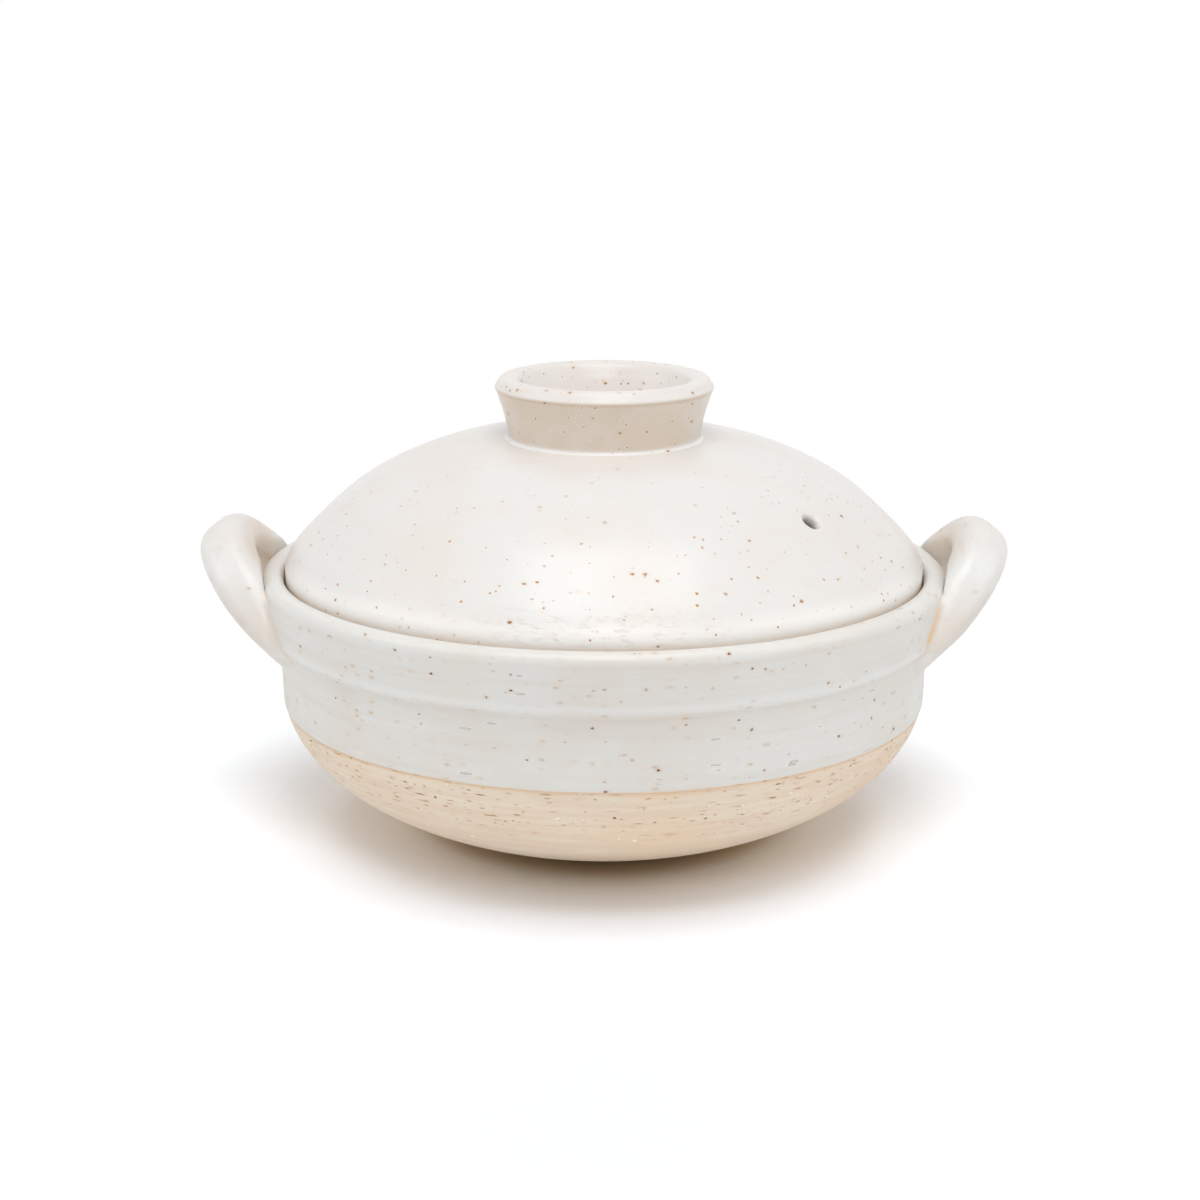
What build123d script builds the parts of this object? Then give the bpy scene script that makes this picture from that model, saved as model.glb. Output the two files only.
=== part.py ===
from build123d import *

import os
from math import acos, asin, atan2, cos, degrees, hypot, pi, radians, sin, sqrt

# A donabe: a thick clay pot with two ear handles and a domed lid that lifts off.
# Millimetres. The pot stands on z = 0, its handles lie along X and its front faces -Y.

# Pot
rim_radius = 125.0  # outside of the rim
rim_height = 97.0  # floor to the top of the rim
rim_thickness = 7.0
rim_crown = 4.0  # height of the rounding over the rim
band_height = 21.4  # collar under the rim, from its lower edge to the rim's top
band_taper = 3.0  # how much narrower the collar is at its lower edge
band_edge = 2.2  # rounding of the collar's lower edge
step_depth = 2.2  # how far the collar stands out over the wall below it
step_drop = 1.8  # height over which the wall steps out to the collar
bowl_inset = 6.4  # outside of the rim in to the wall, where the bowl turns in
bowl_height = 54.0  # floor to that turn
base_radius = 48.0  # the flat that the pot stands on
base_edge = 1.5  # rounding of the base's outer edge
foot_width = 11.0  # flat ring left round the trimmed middle of the base
foot_recess = 1.2  # how deep the middle of the base is trimmed
wall = 7.6
floor_thickness = 8.5
floor_radius = 40.0  # where the floor inside turns up into the bowl

# Gallery inside the rim, where the lid sits
seat_depth = 9.0  # top of the rim down to the ledge
seat_edge = 1.6  # rounding of the ledge's two corners

# Handles
foot_span = 78.0  # between the middles of the two legs' feet, on the wall
loop_span = 62.0  # across the loop, between the middles of its two sides
handle_reach = 12.8  # outside of the rim to the middle of the loop
handle_lift = 7.0  # top of the rim up to the middle of the loop
loop_width = 17.5  # section across the loop, in the loop's own plane
loop_thickness = 19.0  # the same section, square to that plane, in the middle of the loop
side_thickness = 17.0  # what that thins towards at the sides of the loop
loop_steps = 6  # even steps round the half turn of the loop
leg_drop = 20.0  # top of the rim down to the middle of a leg's foot
leg_width = 14.0  # a leg's foot, along the wall
leg_height = 34.0  # a leg's foot, up the wall
leg_lean = 62.0  # degrees that a foot leans towards the middle of the handle
leg_bury = 5.0  # how far behind the wall's face a leg starts, before it is cut to the wall
corner_share = 0.4  # rounding of every section, as a share of its shorter side

# Lid
lid_clearance = 1.4  # between the lid's edge and the inside of the rim
lid_height = 57.0  # ledge to the crown of the dome
lid_edge_height = 10.0  # ledge to the start of the dome
lid_edge = 6.2  # thickness of the upright edge
lid_edge_round = 1.4
lid_wall = 6.5  # thickness of the dome at its crown
# The dome between its crown and its edge, as shares of its radius and of its rise
dome_shares = [(0.30, 0.977), (0.475, 0.938), (0.645, 0.79), (0.79, 0.585), (0.91, 0.315), (0.983, 0.11)]

# Steam hole
vent_diameter = 7.0
vent_share = 0.715  # how far down the dome's outline the hole lies, from the crown
vent_bearing = 39.0  # degrees round from +X towards the front
vent_edge = 0.9  # rounding of the hole's outer edge

# Ring on the lid: its knob, and its foot when the lid is turned over
ring_foot_radius = 34.5  # outside, just under the dome's surface
ring_bury = 3.0  # how far that is below the crown, before the ring is cut to the dome
ring_lip_radius = 39.8  # the sharp outer edge of the flared lip
ring_lip_height = 18.0  # crown of the dome up to that edge
ring_height = 21.6  # crown of the dome up to the top of the ring
ring_top_radius = 34.8  # where the rounded top is highest
ring_mouth_radius = 31.0  # inner end of the rounded top
ring_mouth_drop = 1.5  # how far that end lies below the top
ring_floor_radius = 26.5  # inside, at the dome
ring_flare = 0.7  # how far the outside is hollowed between foot and lip
ring_hollow = 1.4  # how far the inside is hollowed between mouth and floor
ring_lip_round = 0.8  # rounding of that outer edge

bowl_radius = rim_radius - bowl_inset
step_top = rim_height - band_height
step_foot = step_top - step_drop
band_foot_radius = rim_radius - band_taper
throat_radius = band_foot_radius - step_depth
rim_turn = rim_height - rim_crown
rim_middle = rim_radius - rim_thickness / 2
seat_radius = rim_radius - rim_thickness
seat_height = rim_height - seat_depth
inner_radius = bowl_radius - wall
foot_angle = degrees(acos(base_radius / bowl_radius))
floor_angle = degrees(acos(floor_radius / inner_radius))
bowl_depth = bowl_height / sqrt(1 - (base_radius / bowl_radius) ** 2)
hollow_depth = (bowl_height - floor_thickness) / sqrt(1 - (floor_radius / inner_radius) ** 2)
recess_radius = base_radius - foot_width
lid_radius = seat_radius - lid_clearance
lid_shoulder = seat_height + lid_edge_height
lid_crown = seat_height + lid_height


def pot_outside():
    # From the edge of the base round the bowl, over the step and up the collar to the rim's top
    EllipticalCenterArc((0, bowl_height), bowl_radius, bowl_depth, start_angle=-foot_angle, arc_size=foot_angle)
    TangentArc((bowl_radius, bowl_height), (throat_radius, step_foot), tangent=(0, 1))
    FilletPolyline(
        (throat_radius, step_foot), (band_foot_radius, step_top), (rim_radius, rim_turn), radius=band_edge
    )
    EllipticalCenterArc((rim_middle, rim_turn), rim_thickness / 2, rim_crown, start_angle=0, arc_size=90)


def dome_line(radius, shoulder, crown):
    # Half of a dome's outline, from its crown level out to its upright edge
    rise = crown - shoulder
    points = [(radius * across, shoulder + rise * up) for across, up in dome_shares]
    return Spline((0, crown), *points, (radius, shoulder), tangents=[(1, 0), (0, -1)])


# The pot's outer form, filled in. The handles are cut to it.
with BuildPart() as pot_form:
    with BuildSketch(Plane.XZ):
        with BuildLine():
            pot_outside()
            Polyline((rim_middle, rim_height), (0, rim_height), (0, 0), (base_radius, 0))
        make_face()
    revolve(axis=Axis.Z)

with BuildPart() as pot_body:
    with BuildSketch(Plane.XZ):
        with BuildLine():
            pot_outside()
            EllipticalCenterArc(
                (rim_middle, rim_turn), rim_thickness / 2, rim_crown, start_angle=90, arc_size=90
            )
            FilletPolyline(
                (seat_radius, rim_turn),
                (seat_radius, seat_height),
                (inner_radius, seat_height),
                (inner_radius, bowl_height),
                radius=seat_edge,
            )
            EllipticalCenterArc(
                (0, bowl_height), inner_radius, hollow_depth, start_angle=-floor_angle, arc_size=floor_angle
            )
            Polyline((floor_radius, floor_thickness), (0, floor_thickness), (0, foot_recess))
            Polyline((0, foot_recess), (recess_radius, foot_recess), (recess_radius, 0), (base_radius, 0))
        make_face()
    revolve(axis=Axis.Z)
    fillet(pot_body.edges().group_by(Axis.Z)[0].sort_by(SortBy.RADIUS)[-1], radius=base_edge)

# Each handle is one thick coil bent into a half turn that slopes up and out. Its legs spread
# where they are pressed on to the collar, and they follow the step below it.
foot_height = rim_height - leg_drop
foot_radius = band_foot_radius + band_taper * (foot_height - step_top) / (rim_turn - step_top)
foot_turn = asin(foot_span / 2 / foot_radius)
loop_foot = Vector(foot_radius * cos(foot_turn), 0, foot_height)
loop_top = Vector(rim_radius + handle_reach, 0, rim_height + handle_lift)
loop_depth = hypot(loop_top.X - loop_foot.X, loop_top.Z - loop_foot.Z)
loop_slope = atan2(loop_top.Z - loop_foot.Z, loop_top.X - loop_foot.X)
outward = Vector(cos(loop_slope), 0, sin(loop_slope))
square_up = Vector(-sin(loop_slope), 0, cos(loop_slope))
sideways = Vector(0, 1, 0)


def leg_section(side):
    # Flat against the wall where a leg is pressed on, and a little behind the wall's face
    away = Vector(cos(foot_turn), side * sin(foot_turn), 0)
    across = Vector(-side * sin(foot_turn), cos(foot_turn), 0)
    lean = radians(leg_lean)
    upright = Vector(0, 0, 1) * cos(lean) - across * side * sin(lean)
    middle = away * (foot_radius - leg_bury) + Vector(0, 0, foot_height)
    return Plane(origin=middle, x_dir=upright, z_dir=away * -side), leg_height, leg_width


def loop_section(step):
    turn = pi * step / loop_steps
    middle = loop_foot - sideways * cos(turn) * loop_span / 2 + outward * sin(turn) * loop_depth
    heading = sideways * sin(turn) * loop_span / 2 + outward * cos(turn) * loop_depth
    thickness = side_thickness + (loop_thickness - side_thickness) * sin(turn)
    return Plane(origin=middle, x_dir=square_up, z_dir=heading), thickness, loop_width


coil_sections = [leg_section(-1)]
coil_sections += [loop_section(step) for step in range(1, loop_steps)]
coil_sections += [leg_section(1)]

with BuildPart() as handle_right:
    for plane, thickness, width in coil_sections:
        with BuildSketch(plane):
            RectangleRounded(thickness, width, corner_share * min(thickness, width))
    loft()
    add(pot_form.part, mode=Mode.SUBTRACT)

with BuildPart() as handle_left:
    mirror(handle_right.part, about=Plane.YZ)

with BuildPart() as lid_dome:
    with BuildSketch(Plane.XZ):
        with BuildLine():
            outside_line = dome_line(lid_radius, lid_shoulder, lid_crown)
            Polyline(
                (lid_radius, lid_shoulder),
                (lid_radius, seat_height),
                (lid_radius - lid_edge, seat_height),
                (lid_radius - lid_edge, lid_shoulder),
            )
            dome_line(lid_radius - lid_edge, lid_shoulder, lid_crown - lid_wall)
            Line((0, lid_crown - lid_wall), (0, lid_crown))
        make_face()
    revolve(axis=Axis.Z)
    fillet(lid_dome.edges().group_by(Axis.Z)[0], radius=lid_edge_round)

    # The steam hole goes through square to the dome
    vent_point = outside_line @ vent_share
    vent_run = outside_line % vent_share
    bearing = radians(-vent_bearing)
    vent_middle = Vector(vent_point.X * cos(bearing), vent_point.X * sin(bearing), vent_point.Y)
    vent_normal = Vector(-vent_run.Y * cos(bearing), -vent_run.Y * sin(bearing), vent_run.X)
    with BuildSketch(Plane(origin=vent_middle, z_dir=vent_normal)):
        Circle(vent_diameter / 2)
    extrude(amount=lid_wall * 2, both=True, mode=Mode.SUBTRACT)
    fillet(lid_dome.edges(Select.LAST).sort_by(Axis.Z)[-1], radius=vent_edge)

with BuildPart() as lid_ring:
    with BuildSketch(Plane.XZ) as ring_outline:
        with BuildLine():
            foot = (ring_foot_radius, lid_crown - ring_bury)
            lip = (ring_lip_radius, lid_crown + ring_lip_height)
            top = (ring_top_radius, lid_crown + ring_height)
            mouth = (ring_mouth_radius, lid_crown + ring_height - ring_mouth_drop)
            inside = (ring_floor_radius, lid_crown - ring_bury)
            SagittaArc(foot, lip, ring_flare)
            ThreePointArc(lip, top, mouth)
            SagittaArc(mouth, inside, -ring_hollow)
            Line(inside, foot)
        make_face()
        fillet(ring_outline.vertices().sort_by(Axis.X)[-1], radius=ring_lip_round)
    revolve(axis=Axis.Z)
    add(lid_dome.part, mode=Mode.SUBTRACT)

pieces = {
    "pot_body": pot_body,
    "handle_left": handle_left,
    "handle_right": handle_right,
    "lid_dome": lid_dome,
    "lid_ring": lid_ring,
}

os.makedirs("parts", exist_ok=True)
for name, piece in pieces.items():
    piece.part.label = name
    export_step(piece.part, f"parts/{name}.step")
    print(name, "volume", round(piece.part.volume), "cubic mm")
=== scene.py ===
import math
from contextlib import contextmanager

import bmesh
import bpy
import numpy as np
from mathutils import Matrix, Vector, noise
from mathutils.bvhtree import BVHTree


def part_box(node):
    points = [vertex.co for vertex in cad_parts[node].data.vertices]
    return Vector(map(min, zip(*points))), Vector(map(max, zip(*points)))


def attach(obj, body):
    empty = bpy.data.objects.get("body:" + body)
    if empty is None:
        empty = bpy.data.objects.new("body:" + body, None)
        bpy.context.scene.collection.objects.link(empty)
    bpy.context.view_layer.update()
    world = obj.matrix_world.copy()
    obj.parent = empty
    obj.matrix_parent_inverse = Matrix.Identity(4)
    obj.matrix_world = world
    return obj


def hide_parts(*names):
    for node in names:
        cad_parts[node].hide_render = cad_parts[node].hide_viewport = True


# A glazed clay pot with two ear handles and a domed lid. Dictionaries are in millimetres
# unless a note says otherwise, and meshes are in metres.
mm = 0.001
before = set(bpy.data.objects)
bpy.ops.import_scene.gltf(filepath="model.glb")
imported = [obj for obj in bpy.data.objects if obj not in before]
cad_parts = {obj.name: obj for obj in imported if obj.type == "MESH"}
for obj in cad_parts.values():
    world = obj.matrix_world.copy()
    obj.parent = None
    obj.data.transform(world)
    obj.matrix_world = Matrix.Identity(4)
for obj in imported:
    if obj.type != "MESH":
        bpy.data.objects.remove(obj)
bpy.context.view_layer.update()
scene = bpy.context.scene
print("frame loaded:", sorted(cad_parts))


# Outlines

def arcPoints(centre, radii, start, end, count):
    # Part of an ellipse in degrees, anticlockwise from +r
    points = []
    for i in range(count + 1):
        turn = math.radians(start + (end - start) * i / count)
        points.append((centre[0] + radii[0] * math.cos(turn), centre[1] + radii[1] * math.sin(turn)))
    return points


def roundedPath(corners, step=0.5):
    # Corners are (r, z) or (r, z, radius), and a radius rounds that corner
    path = []
    for i, corner in enumerate(corners):
        here = Vector(corner[:2])
        radius = corner[2] if len(corner) > 2 else 0
        if not radius or i in (0, len(corners) - 1):
            path.append(here)
            continue
        back = (Vector(corners[i - 1][:2]) - here).normalized()
        on = (Vector(corners[i + 1][:2]) - here).normalized()
        half = back.angle(on) / 2
        reach = radius / math.tan(half)
        middle = here + (back + on).normalized() * radius / math.sin(half)
        first, last = here + back * reach - middle, here + on * reach - middle
        sweep = first.angle_signed(last)
        count = max(3, math.ceil(abs(sweep) * radius / step))
        for k in range(count + 1):
            turn = -sweep * k / count
            path.append(middle + Matrix.Rotation(turn, 2) @ first)
    return path


def runsAlong(line):
    # How far along a line each of its points is
    return np.concatenate([[0], np.cumsum(np.hypot(*np.diff(line, axis=0).T))])


def evenPath(path, spacing):
    # The same line with its points evenly spaced. Spacing is a length, or a function of a point
    points = np.array([tuple(p) for p in path])
    runs = np.hypot(*np.diff(points, axis=0).T)
    points = points[np.concatenate([[True], runs > 1e-6])]
    along = runsAlong(points)
    if not callable(spacing):
        places = np.linspace(0, along[-1], max(2, round(along[-1] / spacing)) + 1)
    else:
        places = [0.0]
        while places[-1] < along[-1]:
            here = [np.interp(places[-1], along, points[:, k]) for k in (0, 1)]
            places.append(places[-1] + spacing(here))
        places = np.array(places) * along[-1] / places[-1]
    return list(zip(np.interp(places, along, points[:, 0]), np.interp(places, along, points[:, 1])))


def splinePoints(points, startWay, endWay, count):
    # Smooth cubic through a few points, with the way that it leaves and arrives
    points = np.array(points, float)
    gaps = np.hypot(*np.diff(points, axis=0).T)
    rows = len(points)
    matrix, wanted = np.zeros((rows, rows)), np.zeros((rows, 2))
    matrix[0, 0] = matrix[-1, -1] = 1
    wanted[0], wanted[-1] = startWay, endWay
    for i in range(1, rows - 1):
        before, after = gaps[i - 1], gaps[i]
        matrix[i, i - 1:i + 2] = after, 2 * (before + after), before
        slopeBefore = (points[i] - points[i - 1]) / before
        slopeAfter = (points[i + 1] - points[i]) / after
        wanted[i] = 3 * (after * slopeBefore + before * slopeAfter)
    slopes = np.linalg.solve(matrix, wanted)
    line = []
    for i in range(rows - 1):
        for t in np.arange(count) / count:
            line.append(
                (2 * t**3 - 3 * t**2 + 1) * points[i] + (t**3 - 2 * t**2 + t) * gaps[i] * slopes[i]
                + (3 * t**2 - 2 * t**3) * points[i + 1] + (t**3 - t**2) * gaps[i] * slopes[i + 1]
            )
    return [tuple(p) for p in line] + [tuple(points[-1])]


# Meshes

def addObject(name, data):
    thing = bpy.data.objects.new(name, data)
    scene.collection.objects.link(thing)
    return thing


@contextmanager
def opened(mesh):
    # A mesh opened for editing, and written back when that is done
    shape = bmesh.new()
    shape.from_mesh(mesh)
    yield shape
    shape.to_mesh(mesh)
    shape.free()


def spinOutline(name, outline, segments, shift, closed=False):
    # Turns an outline of (r, z) round the upright axis. shift gives each point's own place.
    # Points up to the outline's highest one are outside, and the rest are inside
    mesh = bpy.data.meshes.new(name)
    verts, faces, rings, outsides = [], [], [], []
    top = max(range(len(outline)), key=lambda i: outline[i][1])
    for row, (r, z) in enumerate(outline):
        outside, onAxis = row <= top, r < 1e-4
        outsides += [outside] * (1 if onAxis else segments)
        if onAxis:
            verts.append((0, 0, shift(0, z, 0, outside)[1]))
            rings.append([len(verts) - 1] * segments)
            continue
        ring = []
        for k in range(segments):
            turn = 2 * math.pi * k / segments
            across, up = shift(r, z, turn, outside)
            verts.append((across * math.cos(turn), across * math.sin(turn), up))
            ring.append(len(verts) - 1)
        rings.append(ring)
    pairs = list(zip(rings, rings[1:] + rings[:1]))[:None if closed else -1]
    for lower, upper in pairs:
        for k in range(segments):
            m = (k + 1) % segments
            corners = [lower[k], lower[m], upper[m], upper[k]]
            faces.append([c for i, c in enumerate(corners) if c not in corners[:i]])
    mesh.from_pydata([[c * mm for c in v] for v in verts], [], faces)
    mesh.update()
    with opened(mesh) as shape:
        bmesh.ops.recalc_face_normals(shape, faces=shape.faces)
    mesh.shade_smooth()
    piece = addObject(name, mesh)
    setMask(piece, "outside", outsides)
    return piece


def wave(turn, radius, z, fine, seed):
    # Soft noise on a round wall: fine lines round it where z counts more than the way round
    across, up = fine
    x, y = math.cos(turn) * radius * across, math.sin(turn) * radius * across
    return noise.noise(Vector((x, y, z * up + seed)))


def marks(layers, turn, radius, z):
    return sum(depth * wave(turn, radius, z, fine, seed) for depth, fine, seed in layers)


def setMask(piece, name, values):
    mask = piece.data.attributes.new(name, "FLOAT", "POINT")
    mask.data.foreach_set("value", np.array(values, np.float32))


def readMask(piece, name):
    values = np.empty(len(piece.data.vertices), np.float32)
    piece.data.attributes[name].data.foreach_get("value", values)
    return values


def pointsOf(piece):
    places = np.empty(len(piece.data.vertices) * 3)
    piece.data.vertices.foreach_get("co", places)
    return places.reshape(-1, 3) / mm


def smoothStep(low, high, value):
    t = np.clip((value - low) / (high - low), 0, 1)
    return t * t * (3 - 2 * t)


def between(value, low, lowFull, highFull, high):
    # 1 from lowFull to highFull, and nothing below low or above high
    return smoothStep(low, lowFull, value) * (1 - smoothStep(highFull, high, value))


def stripe(value, middle, width):
    # 1 at the middle, fading softly on both sides
    return np.exp(-((value - middle) / width) ** 2)


# Pot

_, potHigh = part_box("pot_body")
pot = {
    "rimRadius": potHigh.x / mm,
    "rimHeight": potHigh.z / mm,
    "rimThickness": 7.0,
    "rimCrown": 4.0,
    "rimFlatness": 0.78,  # 1 gives the rim's top a half ellipse, less a flatter one
    "bandHeight": 21.4,
    "bandTaper": 3.0,
    "bandEdge": 1.0,
    "stepDepth": 2.2,
    "stepDrop": 1.8,
    "stepFill": 0.5,  # rounding of glaze in the corner under the collar
    "bowlInset": 6.4,
    "bowlHeight": 54.0,
    "baseRadius": 48.0,
    "baseEdge": 1.5,
    "footWidth": 11.0,
    "footRecess": 1.2,
    "footFill": 0.6,  # rounding in the corner of the recess
    "footEdge": 0.5,
    "wall": 7.6,
    "floorThickness": 8.5,
    "floorRadius": 40.0,
    "floorRound": 18.0,
    "seatDepth": 9.0,
    "seatEdge": 1.6,
    "seatFill": 1.2,
    "seatGather": 1.0,  # how far the rim swells inwards to meet the lid
    "glazeLine": 48.4,  # height where the glaze ends
    "glazeThickness": 0.22,
    "glazeBead": 0.1,
    # Marks of the wheel and the hand, as depth, fineness round the pot and up it, and a seed
    "untrue": [(0.0010, (1.1, 0.008), 2.0)],  # shares of the radius
    "throwMarks": [(0.07, (0.006, 0.16), 5.0), (0.04, (0.012, 0.62), 9.0)],
    "rimWaves": [(0.16, (2.2, 1), 1.4), (0.12, (9, 1), 7.7)],
    "rimWear": 0.1,
    "glazeWaves": [(0.45, (1.6, 1), 4.1), (0.16, (9, 1), 8.3)],
    "segments": 360,
    "spacing": 1.1,
    "rimSpacing": 0.6,
    "edgeSpacing": 0.24,
}
pot["bowlRadius"] = pot["rimRadius"] - pot["bowlInset"]
pot["stepTop"] = pot["rimHeight"] - pot["bandHeight"]
pot["stepFoot"] = pot["stepTop"] - pot["stepDrop"]
pot["bandFoot"] = pot["rimRadius"] - pot["bandTaper"]
pot["throat"] = pot["bandFoot"] - pot["stepDepth"]
pot["rimTurn"] = pot["rimHeight"] - pot["rimCrown"]
pot["seatRadius"] = pot["rimRadius"] - pot["rimThickness"]
pot["seatHeight"] = pot["rimHeight"] - pot["seatDepth"]


def potOutside():
    # From the bowl's foot to the rim's shoulder
    share = math.acos(pot["baseRadius"] / pot["bowlRadius"])
    depth = pot["bowlHeight"] / math.sin(share)
    bowl = arcPoints((0, pot["bowlHeight"]), (pot["bowlRadius"], depth), -math.degrees(share), 0, 60)
    rise, out = pot["stepFoot"] - pot["bowlHeight"], pot["throat"] - pot["bowlRadius"]
    bend = (rise**2 + out**2) / (2 * out)
    neck = [(pot["bowlRadius"] + bend - math.sqrt(bend**2 - up**2), pot["bowlHeight"] + up)
            for up in np.linspace(0, rise - 1.5, 12)[1:]]
    return bowl + neck, [
        (pot["throat"], pot["stepFoot"], pot["stepFill"]),
        (pot["bandFoot"], pot["stepTop"], pot["bandEdge"]),
        (pot["rimRadius"], pot["rimTurn"]),
    ]


def rimTop(end, count):
    # From the outer shoulder over the rim's top, up to a turn in degrees
    half, crown, power = pot["rimThickness"] / 2, pot["rimCrown"], pot["rimFlatness"]
    points = []
    for x, z in arcPoints((0, 0), (1, 1), 0, end, count):
        x = math.copysign(abs(x) ** power, x)
        reach = half if x > 0 else half + pot["seatGather"]
        points.append((pot["rimRadius"] - half + reach * x, pot["rimTurn"] + crown * abs(z) ** power))
    return points


def potOutline():
    base, inner = pot["baseRadius"], pot["baseRadius"] - pot["footWidth"]
    recess = pot["footRecess"]
    underside = [(0, recess), (inner, recess, pot["footFill"]), (inner, 0, pot["footEdge"]),
                 (base, 0, pot["baseEdge"])]
    bowl, collar = potOutside()
    hollow = pot["bowlRadius"] - pot["wall"]
    gathered = pot["seatRadius"] - pot["seatGather"]
    seat = [(gathered, pot["seatHeight"], pot["seatFill"]), (hollow, pot["seatHeight"], pot["seatEdge"])]
    share = math.acos(pot["floorRadius"] / hollow)
    depth = (pot["bowlHeight"] - pot["floorThickness"]) / math.sin(share)
    inside = arcPoints((0, pot["bowlHeight"]), (hollow, depth), 0, -math.degrees(share), 60)
    inside[-1] += (pot["floorRound"],)
    return roundedPath(underside + bowl[1:] + collar + rimTop(180, 32) + seat + inside
                       + [(0, pot["floorThickness"])])


def glazeEdge(turn):
    # Height of the glaze's lower edge, a little uneven round the pot
    return pot["glazeLine"] + marks(pot["glazeWaves"], turn, 1, 0)


def potShift(r, z, turn, outside):
    # Throwing and trimming marks, a rim that isn't quite true, and the glaze's thickness
    across = r * (1 + marks(pot["untrue"], turn, 1, z))
    up = z
    if z > pot["baseEdge"]:
        across += marks(pot["throwMarks"], turn, r, z)
    if z > pot["seatHeight"]:
        lift = smoothStep(pot["seatHeight"], pot["rimHeight"], z)
        up += lift * (marks(pot["rimWaves"], turn, 1, 0) - pot["rimWear"])
    if outside and pot["bowlHeight"] / 2 < z < pot["bowlHeight"] + 3:
        edge = glazeEdge(turn)
        roll = smoothStep(edge - 0.25, edge + 0.35, z)
        bead = pot["glazeBead"] * stripe(z, edge + 0.9, 0.9)
        across += pot["glazeThickness"] * (roll - 1) + bead
    return across, up


def potSpacing(place):
    # Rows are closer at the glaze's edge, the step and the rim
    r, z = place
    if r > pot["bowlRadius"] * 0.9 and abs(z - pot["glazeLine"]) < 1.6:
        return pot["edgeSpacing"]
    if r > pot["bowlRadius"] * 0.98 and z > pot["stepFoot"] - 3:
        return pot["rimSpacing"]
    return pot["spacing"]


def makePot():
    piece = spinOutline("glazedPot", evenPath(potOutline(), potSpacing), pot["segments"], potShift)
    x, y, z = pointsOf(piece).T
    r, edges = np.hypot(x, y), np.array([glazeEdge(t) for t in np.arctan2(y, x)])
    outer = readMask(piece, "outside") > 0.5
    bare = outer * (1 - smoothStep(edges - 0.15, edges + 0.2, z))
    # The gallery is wiped clean, so that the lid doesn't stick to it in the kiln
    hollow = pot["bowlRadius"] - pot["wall"]
    ledge = (r > hollow - 0.6) & (r < pot["seatRadius"] + 0.3) & (abs(z - pot["seatHeight"] - 0.6) < 1.6)
    setMask(piece, "bareClay", np.maximum(bare, ledge))
    setMask(piece, "glazeRim", outer * stripe(z, edges - 0.35, 0.5))
    # Glaze runs thick over the collar's lower edge, whiter there, which is also a painted highlight; and thin
    # under it and inside the rim, where its darker tan is also painted shade
    setMask(piece, "pooledAndPaintedLight", outer * stripe(z, pot["stepTop"] + 2.0, 1.4))
    inside = smoothStep(pot["rimTurn"], pot["seatHeight"] + 2, z) * (z > pot["seatHeight"] - 1)
    setMask(piece, "thinGlazeAndPaintedShade", np.where(outer, 0.1 * stripe(z, pot["stepFoot"] - 1.8, 2.2), inside))
    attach(piece, "pot")
    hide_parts("pot_body")
    return piece


potPiece = makePot()
print("pot:", len(potPiece.data.vertices), "points")


# Handles

handle = {
    "grain": 0.7,  # size of the mesh's cells
    "weld": 0.002,
    "touch": 0.12,  # a coil's points nearer the wall than this are its flat foot
    "overlap": 1.6,  # how far a coil is pressed into the wall before it is luted
    "lutedWidth": 3.4,  # width of the smoothed seam
    "lutingPasses": 26,
    "coilPasses": 7,
    "skirt": 4.2,  # how far the luted clay spreads on the wall
    "skirtCut": 3.0,  # how much less of it there is at the top
    "sink": 0.5,
    "dent": 0.22,  # depth of finger marks
    "dentScale": 0.075,
    "patchTurn": 34.0,  # degrees of the wall each side of the handle's middle
    "patchCells": 60,
    "patchLow": 50.0,
    "patchHigh": 93.3,  # above this the coil stands clear of the rim
    "patchThickness": 6.0,
    "rimGap": 0.15,  # between the coil and the rim's lip
    "groove": 0.5,  # depth of the crease pressed along the seam
    "grooveAway": 1.9,
    "grooveWidth": 0.8,
    "grooveHeights": (72, 80, 87, 92),  # where it begins, is full, fades and ends
    # Strengths of the painted shade in the crease, inside the loop and on the legs
    "creaseThinGlazeAndPaintedShade": 0.7,
    "loopPaintedShade": 0.85,
    "legPaintedShade": 0.35,
    # A rusty line where the glaze missed the crease at the front of the right handle
    "rustSide": 1,
    "rustHeights": (78.5, 79.5, 88.5, 91.5),
}


def outsideLine():
    bowl, collar = potOutside()
    path = roundedPath([(p[0], p[1]) for p in bowl[-30:]] + collar + rimTop(90, 16)[1:])
    return evenPath(path, 0.8)


wallLine = outsideLine()


def wallGap(places):
    # Signed distance of points from the pot's outer wall, positive outside
    line = np.array(wallLine)
    r, z = np.hypot(places[:, 0], places[:, 1]), places[:, 2]
    radii = np.interp(z, line[:, 1], line[:, 0])
    slopes = np.gradient(line[:, 0], line[:, 1] + 1e-9 * np.arange(len(line)))
    lean = np.interp(z, line[:, 1], np.clip(slopes, -3, 3))
    gap = (r - radii) / np.sqrt(1 + lean**2)
    above = z - pot["rimHeight"]
    return np.where(above > 0, np.hypot(above, np.maximum(r - radii, 0)), gap)


def wallPatch(side):
    # A slab of the pot's wall behind a handle, for the seam to be smoothed against
    line = [p for p in wallLine if handle["patchLow"] < p[1] < handle["patchHigh"]]
    back = [(p[0] - handle["patchThickness"], p[1]) for p in reversed(line)]
    count = handle["patchCells"]
    verts, faces = [], []
    loop = line + back
    for k in range(count + 1):
        turn = math.radians(handle["patchTurn"]) * (2 * k / count - 1) + (0 if side > 0 else math.pi)
        verts += [(r * math.cos(turn), r * math.sin(turn), z) for r, z in loop]
    size = len(loop)
    for k in range(count):
        for i in range(size):
            m = (i + 1) % size
            faces.append([k * size + i, k * size + m, (k + 1) * size + m, (k + 1) * size + i])
    faces.append(list(range(size)))
    faces.append([count * size + i for i in reversed(range(size))])
    return verts, faces


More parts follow.
